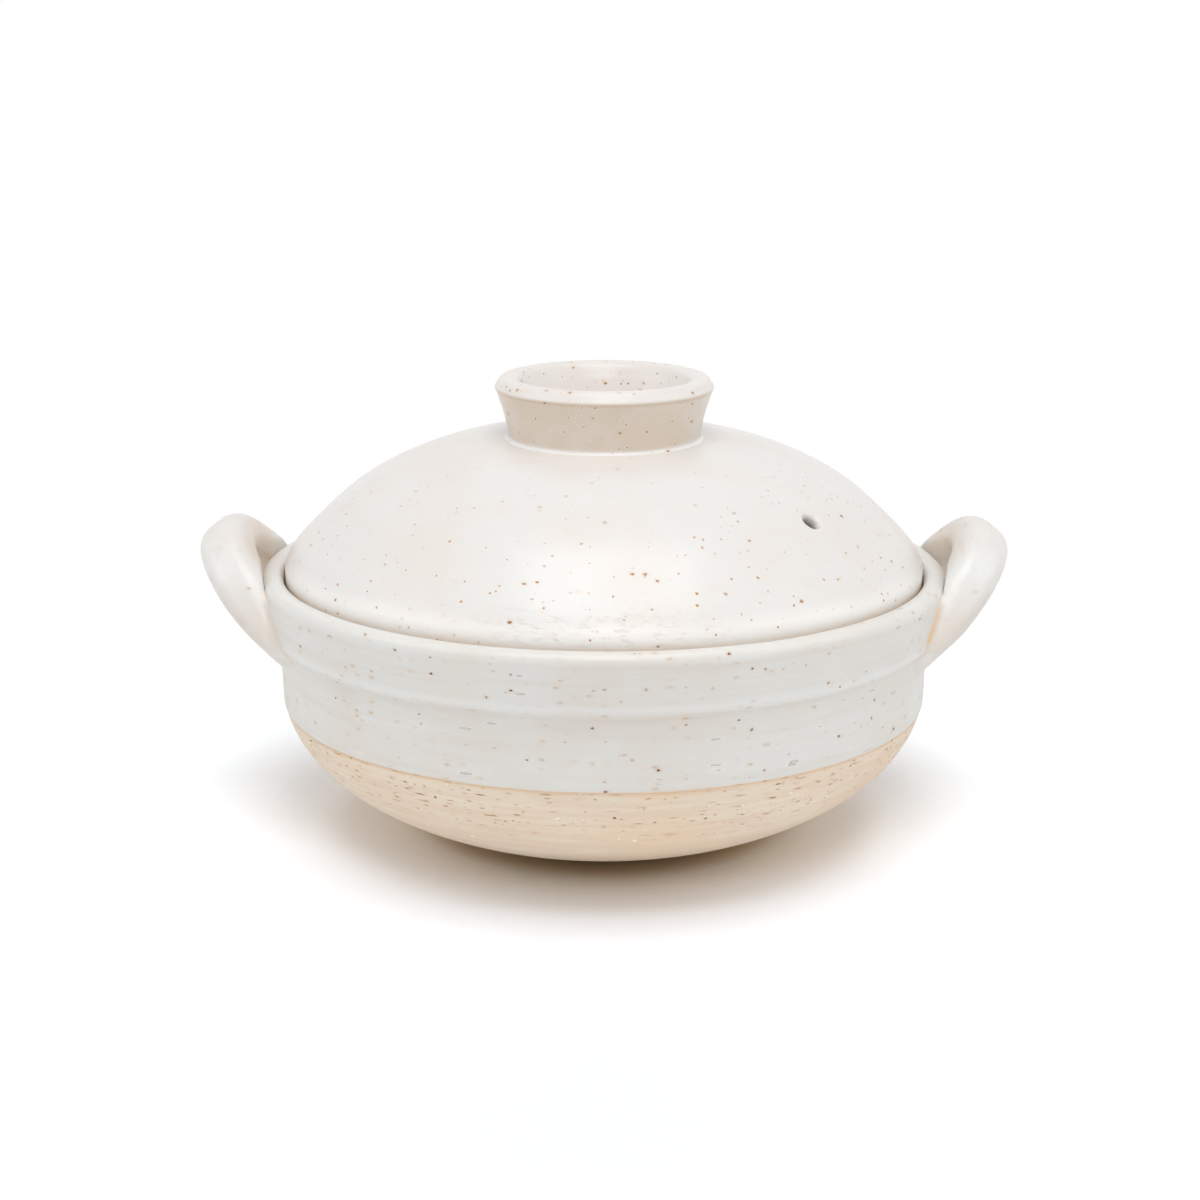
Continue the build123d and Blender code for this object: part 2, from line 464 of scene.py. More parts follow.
def pressCoil(places):
    # The coil's flat foot pressed into the wall, and its top kept clear of the rim
    pressed, z = places.copy(), places[:, 2]
    r = np.hypot(places[:, 0], places[:, 1])
    foot = (np.abs(wallGap(places)) < handle["touch"]) & (z < handle["patchHigh"] - 1)
    pressed[foot, :2] *= ((r - handle["overlap"]) / r)[foot, None]
    clear = pot["rimRadius"] + handle["rimGap"]
    near = (z > handle["patchHigh"] + 1) & (r < clear)
    pressed[near, :2] *= (clear / r)[near, None]
    return pressed


def joinPatch(name, pressed, faces, side):
    # The coil and the slab of wall behind it as one skin of even cells
    patchVerts, patchFaces = wallPatch(side)
    offset = len(pressed)
    mesh = bpy.data.meshes.new(name)
    mesh.from_pydata(
        [tuple(p * mm) for p in pressed] + [tuple(c * mm for c in v) for v in patchVerts], [],
        faces + [[i + offset for i in f] for f in patchFaces],
    )
    with opened(mesh) as shape:
        bmesh.ops.remove_doubles(shape, verts=shape.verts, dist=handle["weld"] * mm)
        bmesh.ops.recalc_face_normals(shape, faces=shape.faces)
    piece = addObject(name, mesh)
    remesh = piece.modifiers.new("cells", "REMESH")
    remesh.mode = "VOXEL"
    remesh.voxel_size = handle["grain"] * mm
    applyModifiers(piece)
    return piece


def luteSeam(piece, places, fromWall, fromCoil):
    # The seam is smoothed away, and the coil's own surface only a little
    width, top = handle["lutedWidth"], handle["patchHigh"]
    seam = np.clip(1 - fromWall / width, 0, 1) * np.clip(1 - fromCoil / width, 0, 1)
    seam *= 1 - smoothStep(top - 3, top - 0.5, places[:, 2])
    smoothGroup(piece, "seam", np.sqrt(np.clip(seam, 0, 1)), handle["lutingPasses"])
    smoothGroup(piece, "coil", smoothStep(0.2, 1.5, fromWall), handle["coilPasses"])


def shapeFoot(piece, side, places, fromWall, fromCoil):
    # Keeps the coil and the clay spread at its foot, whose edge dips into the wall
    z, top = places[:, 2], handle["patchHigh"]
    skirt = handle["skirt"] - handle["skirtCut"] * smoothStep(top - 8, top - 2, z)
    outside = (fromCoil > skirt) & (z < top + 1.5)
    dip = smoothStep(skirt - 2.2, skirt, fromCoil) * (1 - smoothStep(0.1, 1.5, fromWall)) * handle["sink"]
    dip += 0.06 * smoothStep(0.2, 1.0, fromCoil)
    dip[z > top] = 0
    groove = stripe(fromWall, handle["grooveAway"], handle["grooveWidth"])
    groove *= between(z, *handle["grooveHeights"]) * handle["groove"]
    with opened(piece.data) as shape:
        spare = [f for f in shape.faces if all(outside[v.index] or fromWall[v.index] < -1.2 for v in f.verts)]
        for v in shape.verts:
            turn = math.atan2(v.co.y, v.co.x)
            v.co -= Vector((math.cos(turn), math.sin(turn), 0)) * dip[v.index] * mm
            dent = noise.noise(v.co / mm * handle["dentScale"] + Vector((side, 3.0, 0)))
            v.co += v.normal * smoothStep(0.5, 4.0, fromWall[v.index]) * handle["dent"] * mm * dent
            v.co -= v.normal * groove[v.index] * mm
        bmesh.ops.delete(shape, geom=spare, context="FACES")
    piece.data.shade_smooth()


def shadeAndRustHandle(piece, side, places, fromWall, fromCoil):
    # Painted shade as a darker, warmer glaze colour in the crease, where the glaze is also thin, inside the
    # loop and on its legs
    z, fromWall = places[:, 2], np.clip(fromWall, 0, None)
    crease = np.exp(-fromWall / 1.1) * np.exp(-fromCoil / 0.9)
    loop = 1 - smoothStep(1.0, 9.0, np.hypot(places[:, 0], places[:, 1]) - pot["rimRadius"])
    loop *= 1 - smoothStep(14, 30, np.abs(places[:, 1]))
    legs = 1 - smoothStep(82, 100, z)
    thinGlazeAndShade = handle["creaseThinGlazeAndPaintedShade"] * crease + handle["loopPaintedShade"] * loop + handle["legPaintedShade"] * legs
    setMask(piece, "thinGlazeAndPaintedShade", np.clip(thinGlazeAndShade, 0, 1) * smoothStep(68, 80, z))
    front = (places[:, 1] < 0) & (side == handle["rustSide"])
    rusty = stripe(fromWall, 0, 0.7) * np.exp(-fromCoil / 1.2) * between(z, *handle["rustHeights"])
    setMask(piece, "rusty", rusty * front)


def makeHandle(name, node, side):
    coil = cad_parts[node]
    corners, faces = pointsOf(coil), [p.vertices[:] for p in coil.data.polygons]
    coilTree = BVHTree.FromPolygons([Vector(p) for p in corners], faces)
    piece = joinPatch(name, pressCoil(corners), faces, side)

    def measured():
        # Each point's place, and how far it is from the wall and from the bare coil
        places = pointsOf(piece)
        return places, wallGap(places), np.array([coilTree.find_nearest(Vector(p))[3] for p in places])

    luteSeam(piece, *measured())
    shapeFoot(piece, side, *measured())
    shadeAndRustHandle(piece, side, *measured())
    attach(piece, "pot")
    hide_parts(node)
    return piece


def applyModifiers(piece):
    shaped = piece.evaluated_get(bpy.context.evaluated_depsgraph_get())
    mesh = bpy.data.meshes.new_from_object(shaped)
    piece.modifiers.clear()
    old, piece.data = piece.data, mesh
    bpy.data.meshes.remove(old)


def smoothGroup(piece, name, weights, passes):
    group = piece.vertex_groups.new(name=name)
    for i, weight in enumerate(weights):
        if weight > 0.01:
            group.add([i], float(weight), "REPLACE")
    smooth = piece.modifiers.new(name, "SMOOTH")
    smooth.vertex_group = name
    smooth.factor = 0.5
    smooth.iterations = passes
    applyModifiers(piece)


rightHandle = makeHandle("rightHandle", "handle_right", 1)
leftHandle = makeHandle("leftHandle", "handle_left", -1)
print("handles:", len(rightHandle.data.vertices), "points each")


# Lid

lidLow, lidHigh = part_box("lid_dome")
_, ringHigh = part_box("lid_ring")
lid = {
    "radius": lidHigh.x / mm,
    "seat": lidLow.z / mm,
    "crown": lidHigh.z / mm,
    "edgeHeight": 10.0,
    "edge": 6.2,
    "edgeRound": 1.4,
    "wall": 6.5,
    # The dome between its crown and its edge, as shares of its radius and of its rise
    "domeShares": [(0.30, 0.977), (0.475, 0.938), (0.645, 0.79), (0.79, 0.585), (0.91, 0.315), (0.983, 0.11)],
    "ventDiameter": 6.0,  # inside the glaze's lip
    "ventShare": 0.715,
    "ventBearing": 39.0,  # degrees from +X towards the front
    "ventLip": 2.1,
    "ventCells": (4.0, 2.4),  # how far round the hole the cells are halved, and halved again
    "ventShares": (0.97, 1.05),  # the hole narrows a little inwards
    "ventWobble": 0.16,
    "wobbleScale": 0.35,
    "sliver": 0.003,
    "untrue": [(0.0009, (1.3, 0.01), 12.0)],
    "broadMarks": [(0.06, (0.006, 0.13), 3.0)],
    "fineMarks": [(0.035, (0.012, 0.6), 6.0)],
    "swells": [(0.18, (0.03, 0.03), 15.0)],
    "segments": 360,
    "spacing": 1.1,
}
lid["shoulder"] = lid["seat"] + lid["edgeHeight"]


def domeLine(radius, crown):
    rise = crown - lid["shoulder"]
    points = [(0, crown)] + [(radius * a, lid["shoulder"] + rise * b) for a, b in lid["domeShares"]]
    return splinePoints(points + [(radius, lid["shoulder"])], (1, 0), (0, -1), 14)


domeOutside = domeLine(lid["radius"], lid["crown"])


def domeHeight(r):
    line = np.array(domeOutside)
    return float(np.interp(r, line[:, 0], line[:, 1]))


def lidOutline():
    inner = lid["radius"] - lid["edge"]
    hollow = domeLine(inner, lid["crown"] - lid["wall"])
    corners = [(lid["radius"], lid["seat"], lid["edgeRound"]), (inner, lid["seat"], lid["edgeRound"])]
    return roundedPath(domeOutside + corners + hollow[::-1])


def lidShift(r, z, turn, outside):
    across = r * (1 + marks(lid["untrue"], turn, 1, z))
    up = marks(lid["broadMarks"], turn, r, z + r * 0.8) + marks(lid["fineMarks"], turn, r, z + r)
    up += marks(lid["swells"], turn, r, z)
    fade = smoothStep(2, 12, r) * smoothStep(lid["seat"] + 1, lid["seat"] + 6, z)
    return across, z + fade * up


def ventAxis():
    line = np.array(domeOutside)
    along = runsAlong(line)
    at = along[-1] * lid["ventShare"]
    here, ahead = (np.array([np.interp(s, along, line[:, k]) for k in (0, 1)]) for s in (at, at + 1))
    run = (ahead - here) / np.linalg.norm(ahead - here)
    turn = -math.radians(lid["ventBearing"])
    middle = Vector((here[0] * math.cos(turn), here[0] * math.sin(turn), here[1]))
    way = Vector((-run[1] * math.cos(turn), -run[1] * math.sin(turn), run[0]))
    return middle, way


def openVent(piece):
    # Finer cells round the steam hole, a lip that rolls into it, then the hole itself
    middle, way = ventAxis()
    radius, lip, wall = lid["ventDiameter"] / 2, lid["ventLip"], lid["wall"]

    def fromAxis(place):
        # How far a place is above the glaze, and from the hole's axis
        offset = place / mm - middle
        depth = offset.dot(way)
        return depth, (offset - way * depth).length

    with opened(piece.data) as shape:
        for reach in lid["ventCells"]:
            near = []
            for edge in shape.edges:
                depth, away = fromAxis((edge.verts[0].co + edge.verts[1].co) / 2)
                if abs(depth) < wall * 2 and away < radius + reach:
                    near.append(edge)
            bmesh.ops.subdivide_edges(shape, edges=near, cuts=1, use_grid_fill=True)
        for v in shape.verts:
            depth, away = fromAxis(v.co)
            if -wall / 2 <= depth <= wall and away < radius + lip:
                wobble = 1 + lid["ventWobble"] * noise.noise(v.co / mm * lid["wobbleScale"])
                inward = min(1, (radius + lip - away) / lip)
                v.co -= way * mm * lip * wobble * (1 - math.sqrt(1 - inward**2 * 0.96))

    punchMesh = bpy.data.meshes.new("ventPunch")
    lower, upper = (radius * share * mm for share in lid["ventShares"])
    turned = way.to_track_quat("Z", "Y").to_matrix().to_4x4()
    with opened(punchMesh) as punch:
        bmesh.ops.create_cone(punch, cap_ends=True, segments=72, radius1=lower, radius2=upper,
                              depth=wall * 4 * mm)
        bmesh.ops.transform(punch, matrix=Matrix.Translation(middle * mm) @ turned, verts=punch.verts)
    cutter = addObject("ventPunch", punchMesh)
    cut = piece.modifiers.new("vent", "BOOLEAN")
    cut.operation = "DIFFERENCE"
    cut.solver = "EXACT"
    cut.object = cutter
    applyModifiers(piece)
    bpy.data.objects.remove(cutter)
    bpy.data.meshes.remove(punchMesh)

    # Clear the slivers that the cut leaves
    with opened(piece.data) as shape:
        bmesh.ops.remove_doubles(shape, verts=shape.verts, dist=lid["sliver"] * mm)
        bmesh.ops.dissolve_degenerate(shape, edges=shape.edges, dist=lid["sliver"] * mm)


def makeLid():
    piece = spinOutline("glazedLid", evenPath(lidOutline(), lid["spacing"]), lid["segments"], lidShift)
    openVent(piece)
    piece.data.shade_smooth()
    z = pointsOf(piece)[:, 2]
    # The underside of the edge and a little of its sides are wiped clean
    setMask(piece, "bareClay", 1 - smoothStep(lid["seat"] + 1.2, lid["seat"] + 2.0, z))
    above = z - lid["shoulder"]
    # Painted shade: a darker tan on the lid's upright edge down in the gap, partly thin glaze
    setMask(piece, "thinGlazeAndPaintedShade", 1 - smoothStep(-4, 1.5, above))
    # Painted light: the shoulder is whitened all round against the shade of the rim
    setMask(piece, "pooledAndPaintedLight", between(above, -2.5, 0.5, 1.5, 8))
    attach(piece, "lid")
    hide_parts("lid_dome")
    return piece


lidPiece = makeLid()
print("lid:", len(lidPiece.data.vertices), "points")


# Ring on the lid

ring = {
    "lipRadius": 39.8,
    "lipDrop": 3.6,  # ring's top down to its lip
    "top": ringHigh.z / mm,
    "topRadius": 34.8,
    "mouthRadius": 31.0,
    "mouthDrop": 1.5,
    "footRadius": 34.75,
    "floorRadius": 26.5,
    "flare": 0.7,
    "hollow": 1.4,
    "footFill": 1.5,  # glaze pooled round the foot
    "floorFill": 3.0,
    "footSpread": 3.6,
    "floorSpread": 4.6,
    "footSkin": 0.12,  # the pooled glaze ends this far under the dome
    "footRoot": 1.5,
    "lipRound": 0.75,
    "mouthRound": 0.9,
    # The top's outer and inner shoulders, out and down from its highest circle
    "crestOut": (2.9, 0.72),
    "crestIn": (2.3, 0.45),
    "lipWay": (-0.86, 0.5),
    "mouthWay": (-0.55, -0.83),
    "untrue": [(0.0022, (1.2, 0.02), 21.0)],
    "throwMarks": [(0.09, (0.01, 0.5), 23.0)],
    "topWaves": [(0.12, (1.5, 1), 25.0)],
    "topWear": 0.05,
    "segments": 256,
    "spacing": 0.7,
}


def bulged(first, last, sag, count=14):
    # Points between two ends on a shallow arc that stands sag to the left of the way between them
    first, last = Vector(first), Vector(last)
    way = last - first
    left = Vector((-way.y, way.x)).normalized()
    return [tuple(first + way * (k / count) + left * sag * 4 * (k / count) * (1 - k / count))
            for k in range(1, count)]


def ringOutline():
    foot = (ring["footRadius"], domeHeight(ring["footRadius"]))
    lip = (ring["lipRadius"], ring["top"] - ring["lipDrop"])
    mouth = (ring["mouthRadius"], ring["top"] - ring["mouthDrop"])
    floor = (ring["floorRadius"], domeHeight(ring["floorRadius"]))
    out = foot[0] + ring["footSpread"]
    back = floor[0] - ring["floorSpread"]
    skin, root = ring["footSkin"], ring["footRoot"]
    (away, under), (within, below) = ring["crestOut"], ring["crestIn"]
    crest = [(ring["topRadius"] + away, ring["top"] - under), (ring["topRadius"], ring["top"]),
             (ring["topRadius"] - within, ring["top"] - below)]
    crest = splinePoints([lip] + crest + [mouth], ring["lipWay"], ring["mouthWay"], 8)
    corners = [(out, domeHeight(out) - skin), foot + (ring["footFill"],)]
    corners += bulged(foot, lip, ring["flare"])[1:]
    corners += [lip + (ring["lipRound"],)] + crest[2:-1] + [mouth + (ring["mouthRound"],)]
    corners += bulged(mouth, floor, -ring["hollow"])[:-1]
    corners += [floor + (ring["floorFill"],), (back, domeHeight(back) - skin)]
    corners += [(back, domeHeight(back) - root), (out, domeHeight(out) - root)]
    return roundedPath(corners, 0.25)


def ringShift(r, z, turn, outside):
    across = r * (1 + marks(ring["untrue"], turn, 1, z)) + marks(ring["throwMarks"], turn, r, z)
    lift = smoothStep(lid["crown"], ring["top"], z)
    return across, z + lift * (marks(ring["topWaves"], turn, 1, 0) - ring["topWear"])


def makeRing():
    outline = evenPath(ringOutline(), ring["spacing"])
    piece = spinOutline("lidRing", outline, ring["segments"], ringShift, closed=True)
    z = pointsOf(piece)[:, 2]
    outer = readMask(piece, "outside") > 0.5
    foot, lip = domeHeight(ring["footRadius"]), ring["top"] - ring["lipDrop"]
    # Painted shade: the flared side, which faces a little down, is darker and warmer
    setMask(piece, "thinGlazeAndPaintedShade", outer * between(z, foot + 0.5, foot + 2.0, lip - 0.8, lip + 0.1))
    setMask(piece, "rusty", outer * stripe(z, lip - 0.9, 0.5))
    # Glaze pooled white round the foot
    setMask(piece, "pooledAndPaintedLight", outer * (1 - smoothStep(foot + 0.2, foot + 1.3, z)))
    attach(piece, "lid")
    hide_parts("lid_ring")
    return piece


ringPiece = makeRing()
print("ring:", len(ringPiece.data.vertices), "points")


# Shader tools

def newGroup(name, inputs, outputs):
    # Inputs are numbers and vectors with their defaults. Outputs are numbers, but for Color
    tree = bpy.data.node_groups.new(name, "ShaderNodeTree")
    for label, value in inputs.items():
        kind = "NodeSocketVector" if isinstance(value, tuple) else "NodeSocketFloat"
        tree.interface.new_socket(label, in_out="INPUT", socket_type=kind).default_value = value
    for label in outputs:
        kind = "NodeSocketColor" if label == "Color" else "NodeSocketFloat"
        tree.interface.new_socket(label, in_out="OUTPUT", socket_type=kind)
    return tree, tree.nodes.new("NodeGroupInput").outputs, tree.nodes.new("NodeGroupOutput").inputs


def shade(text):
    # A colour written as six hex digits, as it looks on a screen
    parts = [int(text[i:i + 2], 16) / 255 for i in (0, 2, 4)]
    return tuple(p / 12.92 if p <= 0.04045 else ((p + 0.055) / 1.055) ** 2.4 for p in parts) + (1.0,)


def put(socket, value):
    # A value is a number, a vector, a colour or another node's socket
    if isinstance(value, bpy.types.NodeSocket):
        socket.id_data.links.new(value, socket)
    else:
        socket.default_value = shade(value) if isinstance(value, str) else value


def addNode(kind, inputs, **settings):
    # A node in the same tree as the sockets among its inputs, which go by number or name
    tree = next(v.id_data for v in inputs.values() if isinstance(v, bpy.types.NodeSocket))
    node = tree.nodes.new(kind)
    for label, setting in settings.items():
        setattr(node, label, setting)
    for label, value in inputs.items():
        put(node.inputs[label], value)
    return node


def maths(operation, first, second=0.5):
    return addNode("ShaderNodeMath", {0: first, 1: second}, operation=operation).outputs[0]


def times(*values):
    product = values[0]
    for value in values[1:]:
        product = maths("MULTIPLY", product, value)
    return product


def vectorMaths(operation, first, second=(0, 0, 0)):
    node = addNode("ShaderNodeVectorMath", {0: first, 1: second}, operation=operation)
    return node.outputs["Value" if operation == "LENGTH" else "Vector"]


def separate(vector):
    return addNode("ShaderNodeSeparateXYZ", {0: vector}).outputs


def combine(*parts):
    return addNode("ShaderNodeCombineXYZ", dict(enumerate(parts))).outputs[0]


def remap(value, low, high, outLow=0.0, outHigh=1.0):
    inputs = {"Value": value, "From Min": low, "From Max": high, "To Min": outLow, "To Max": outHigh}
    return addNode("ShaderNodeMapRange", inputs, interpolation_type="SMOOTHSTEP").outputs["Result"]


def blendValue(amount, first, second):
    return addNode("ShaderNodeMix", {0: amount, 2: first, 3: second}).outputs[0]


def blendColour(amount, first, second):
    return addNode("ShaderNodeMix", {0: amount, 6: first, 7: second}, data_type="RGBA").outputs[2]


def noiseOf(vector, scale, detail=3.0, roughness=0.5):
    inputs = {"Vector": vector, "Scale": scale, "Detail": detail, "Roughness": roughness}
    return addNode("ShaderNodeTexNoise", inputs).outputs["Fac"]


def useGroup(group, **values):
    return addNode("ShaderNodeGroup", values, node_tree=group).outputs


def buildWheelLines():
    # Fine lines round the wheel's axis, left by throwing and brushing
    tree, given, result = newGroup(
        "wheelLines", {"Place": (0, 0, 0), "Lines": 600.0, "Length": 30.0}, ["Fac"])
    x, y, z = separate(given["Place"])
    radius = maths("SQRT", maths("ADD", times(x, x), times(y, y)))
    drawn = combine(times(x, given["Length"]), times(y, given["Length"]), times(z, given["Lines"]))
    fourth = times(radius, given["Lines"])
    inputs = {"Vector": drawn, "W": fourth, "Scale": 1.0, "Detail": 3.0, "Roughness": 0.55}
    put(result["Fac"], addNode("ShaderNodeTexNoise", inputs, noise_dimensions="4D").outputs["Fac"])
    return tree


def buildSpecks():
    # Uneven specks, one in some of the cells: their spot, and a wider stain round it
    tree, given, result = newGroup(
        "ironSpecks", {"Place": (0, 0, 0), "Cells": 200.0, "Share": 0.3, "Size": 0.25, "Flatten": 1.0},
        ["Spot", "Stain", "Chance"])
    place = vectorMaths("MULTIPLY", given["Place"], combine(1.0, 1.0, given["Flatten"]))
    cells = addNode("ShaderNodeTexVoronoi", {"Vector": place, "Scale": given["Cells"]}).outputs
    chances = addNode("ShaderNodeSeparateColor", {0: cells["Color"]}).outputs
    chosen = maths("LESS_THAN", chances[0], given["Share"])
    size = times(given["Size"], remap(chances[1], 0.0, 1.0, 0.45, 1.0))
    uneven = remap(noiseOf(place, 1500.0, 1.0), 0.3, 0.7, 0.75, 1.3)
    near = maths("DIVIDE", times(cells["Distance"], uneven), size)
    put(result["Spot"], times(remap(near, 1.0, 0.7), chosen))
    put(result["Stain"], times(remap(near, 2.4, 0.8), chosen))
    put(result["Chance"], chances[2])
    return tree


def buildPatch():
    # A soft oval patch round a point
    tree, given, result = newGroup(
        "softPatch", {"Place": (0, 0, 0), "Middle": (0, 0, 0), "Reach": (1, 1, 1)}, ["Fac"])
    offset = vectorMaths("SUBTRACT", given["Place"], given["Middle"])
    away = vectorMaths("LENGTH", vectorMaths("DIVIDE", offset, given["Reach"]))
    put(result["Fac"], remap(away, 1.0, 0.35))
    return tree


def addSpecks(place, layer, colour, height, fade=1.0):
    # One kind of speck on a colour and a height. Some are fainter than others
    specks = useGroup(ironSpecks, Place=place, Cells=layer["cells"], Share=layer["share"],
                      Size=layer["size"], Flatten=layer["flatten"])
    faint = times(remap(specks["Chance"], 0.0, 1.0, layer["faintest"], 1.0), fade)
    colour = blendColour(times(specks["Stain"], faint, layer["haloStrength"]), colour, layer["halo"])
    colour = blendColour(times(specks["Spot"], faint, layer["coreStrength"]), colour, layer["core"])
    return colour, maths("SUBTRACT", height, times(specks["Spot"], layer["depth"]))


speckFacts = ("cells", "share", "size", "flatten", "faintest", "depth",
              "core", "coreStrength", "halo", "haloStrength")


def speckKinds(*rows):
    # Kinds of speck from rows of the facts above, in that order. More cells make smaller specks,
    # and a share of them has one
    return [dict(zip(speckFacts, row)) for row in rows]


clay = {
    "light": "efe3d4",
    "dark": "e9d7c3",
    "warm": "efd5b6",
    "dragLow": 0.022,  # metres: the smooth foot ends and the dragged pits begin
    "dragHigh": 0.038,
    "dragEnd": 0.065,  # none above this, in the gallery
    "lineCount": 420.0,
    "lineLength": 26.0,
    "fineCount": 1500.0,
    "fineLength": 90.0,
    "fineDepth": 0.12,
    "cloudScale": 28.0,
    "specks": speckKinds(
        (190.0, 0.85, 0.23, 4.0, 0.2, 0.28, "ab7030", 0.95, "dbb384", 0.4),
        (95.0, 0.5, 0.23, 8.0, 0.2, 0.28, "ab7030", 0.85, "dbb384", 0.35),
        (300.0, 0.3, 0.17, 1.3, 0.2, 0.3, "633812", 1.0, "d9a974", 0.4),
    ),
    "grit": speckKinds((240.0, 0.6, 0.21, 1.2, 0.3, -0.25, "fffbf5", 1.0, "e2ccb0", 0.4))[0],
}


def buildClay():
    # Bare sandy clay: warm buff, pits dragged out by trimming, pale grit
    tree, given, result = newGroup("sandyClay", {"Place": (0, 0, 0)}, ["Color", "Height"])
    place = given["Place"]
    lines = useGroup(wheelLines, Place=place, Lines=clay["lineCount"], Length=clay["lineLength"])["Fac"]
    fine = useGroup(wheelLines, Place=place, Lines=clay["fineCount"], Length=clay["fineLength"])["Fac"]
    cloud = noiseOf(place, clay["cloudScale"], 2.0)
    plain = blendColour(remap(lines, 0.3, 0.7), clay["light"], clay["dark"])
    plain = blendColour(remap(cloud, 0.4, 0.75, 0.0, 0.5), plain, clay["warm"])
    smooth = times(fine, clay["fineDepth"])
    dragged, rough = plain, smooth
    for layer in clay["specks"]:
        dragged, rough = addSpecks(place, layer, dragged, rough)
    up = separate(place)[2]
    high = remap(up, clay["dragLow"], clay["dragHigh"], 0.05, 1.0)
    high = times(high, remap(up, clay["dragEnd"], clay["dragEnd"] + 0.005, 1.0, 0.0))
    colour, height = blendColour(high, plain, dragged), blendValue(high, smooth, rough)
    colour, height = addSpecks(place, clay["grit"], colour, height)
    put(result["Color"], colour)
    put(result["Height"], height)
    return tree


wheelLines = buildWheelLines()
ironSpecks = buildSpecks()
softPatch = buildPatch()
sandyClay = buildClay()


def glazeMaterial(name, look):
    # White glaze over sandy clay, which shows where the bareClay mask is 1
    material = bpy.data.materials.new(name)
    material.use_nodes = True
    tree = material.node_tree
    shader = tree.nodes["Principled BSDF"].inputs
    place = tree.nodes.new("ShaderNodeTexCoord").outputs["Object"]

    def mask(label, strength=1.0):
        node = tree.nodes.new("ShaderNodeAttribute")
        node.attribute_name = label
        return times(node.outputs["Fac"], strength)

    # Soft clouds of warmer glaze, and fine lines round the wheel's axis
    cloud = noiseOf(place, look["cloudScale"])
    lines = useGroup(wheelLines, Place=place, Lines=look["lineCount"], Length=look["lineLength"])["Fac"]
    brush = useGroup(wheelLines, Place=place, Lines=look["brushCount"], Length=look["brushLength"])["Fac"]
    colour = blendColour(remap(cloud, 0.36, 0.66), look["glaze"], look["cloud"])
    colour = blendColour(remap(lines, 0.45, 0.75, 0.0, look["lineStrength"]), colour, look["thin"])
    colour = blendColour(remap(brush, 0.55, 0.8, 0.0, look["brushStrength"]), colour, look["thin"])
    uneven = remap(noiseOf(place, look["unevenScale"]), 0.35, 0.6, look["thinGlazeAndPaintedShadeUneven"], 1.0)
    # Painted shade: a darker, warmer tint in creases, gaps, hollows and on shaded sides, partly thin glaze
    colour = blendColour(times(mask("thinGlazeAndPaintedShade", look["thinGlazeAndPaintedShadeStrength"]), uneven), colour, look["thinGlazeAndPaintedShade"])
    # Whiter glaze: pooled at edges and round the ring's foot, and painted light on the lid's shoulder and the
    # collar's edge
    colour = blendColour(mask("pooledAndPaintedLight", look["pooledAndPaintedLightStrength"]), colour, look["pooledAndPaintedLight"])
    colour = blendColour(mask("rusty", look["rustyStrength"]), colour, look["rusty"])
    height = times(noiseOf(place, look["peelScale"], 2.0), look["peel"])
    height = maths("ADD", height, times(lines, look["lineDepth"]))
    height = maths("ADD", height, times(brush, look["brushDepth"]))

    # A place where the glaze crawled and stayed dimpled; the dents are also darkened in colour as painted
    # shade
    for patch in look["dimples"]:
        here = useGroup(softPatch, Place=place, Middle=patch["middle"], Reach=patch["reach"])["Fac"]
        flat = vectorMaths("MULTIPLY", place, (1.0, 1.0, patch["flatten"]))
        dimple = times(remap(noiseOf(flat, patch["scale"], 2.0, 0.6), 0.48, 0.68), here)
        colour = blendColour(times(dimple, patch["strength"]), colour, patch["colour"])
        height = maths("SUBTRACT", height, times(dimple, patch["depth"]))

    # Iron specks come up through the glaze, and some are open pits
    fade = remap(separate(place)[2], *look["speckFade"], 1.0, 0.4)
    for layer in look["specks"]:
        colour, height = addSpecks(place, layer, colour, height, fade)

    bare, ground = mask("bareClay"), useGroup(sandyClay, Place=place)
    colour = blendColour(bare, colour, ground["Color"])
    colour = blendColour(mask("glazeRim", look["edgeRustStrength"]), colour, look["edgeRust"])
    gloss = remap(cloud, 0.3, 0.7, look["roughLow"], look["roughHigh"])
    relief = {"Strength": 1.0, "Distance": look["relief"] * mm,
              "Height": blendValue(bare, height, ground["Height"])}
    put(shader["Base Color"], colour)
    put(shader["Roughness"], blendValue(bare, gloss, look["clayRough"]))
    put(shader["Coat Weight"], times(maths("SUBTRACT", 1.0, bare), look["coat"]))
    put(shader["Normal"], addNode("ShaderNodeBump", relief).outputs["Normal"])
    shader["Coat Roughness"].default_value = 0.16
    shader["IOR"].default_value = 1.5
    return material


potLook = {
    "glaze": "e4e4e1",
    "cloud": "e3dfd9",
    "thin": "dacfc2",
    "thinGlazeAndPaintedShade": "e6d0b6",
    "thinGlazeAndPaintedShadeStrength": 0.7,
    "thinGlazeAndPaintedShadeUneven": 0.75,
    "pooledAndPaintedLight": "eaecec",
    "pooledAndPaintedLightStrength": 0.6,
    "rusty": "f2b233",
    "rustyStrength": 1.0,
    "edgeRust": "dba869",  # along the glaze's lower edge
    "edgeRustStrength": 0.45,
    "cloudScale": 26.0,
    "unevenScale": 55.0,
    "lineCount": 330.0,
    "lineLength": 16.0,
    "lineStrength": 0.3,
    "lineDepth": 0.2,
    "brushCount": 1500.0,
    "brushLength": 55.0,
    "brushStrength": 0.3,
    "brushDepth": 0.12,
    "specks": speckKinds(
        (190.0, 0.4, 0.24, 2.2, 0.1, 0.15, "c4a37c", 0.5, "dfccb4", 0.35),
        # Open pits, whose grey core and pale rim are partly painted shade and painted highlight of the dent
        (110.0, 0.06, 0.25, 5.0, 0.4, 1.1, "b9b2a6", 0.3, "f1f0ee", 0.5),
        (230.0, 0.28, 0.17, 1.4, 0.15, 0.4, "65401a", 1.0, "d8b083", 0.35),
    ),
    "speckFade": (1.0, 2.0),
    "dimples": [],
    "roughLow": 0.36,
    "roughHigh": 0.46,
    "clayRough": 0.85,
    "coat": 0.25,
    "peel": 0.14,
    "peelScale": 420.0,
    "relief": 0.3,
}
lidLook = dict(potLook)
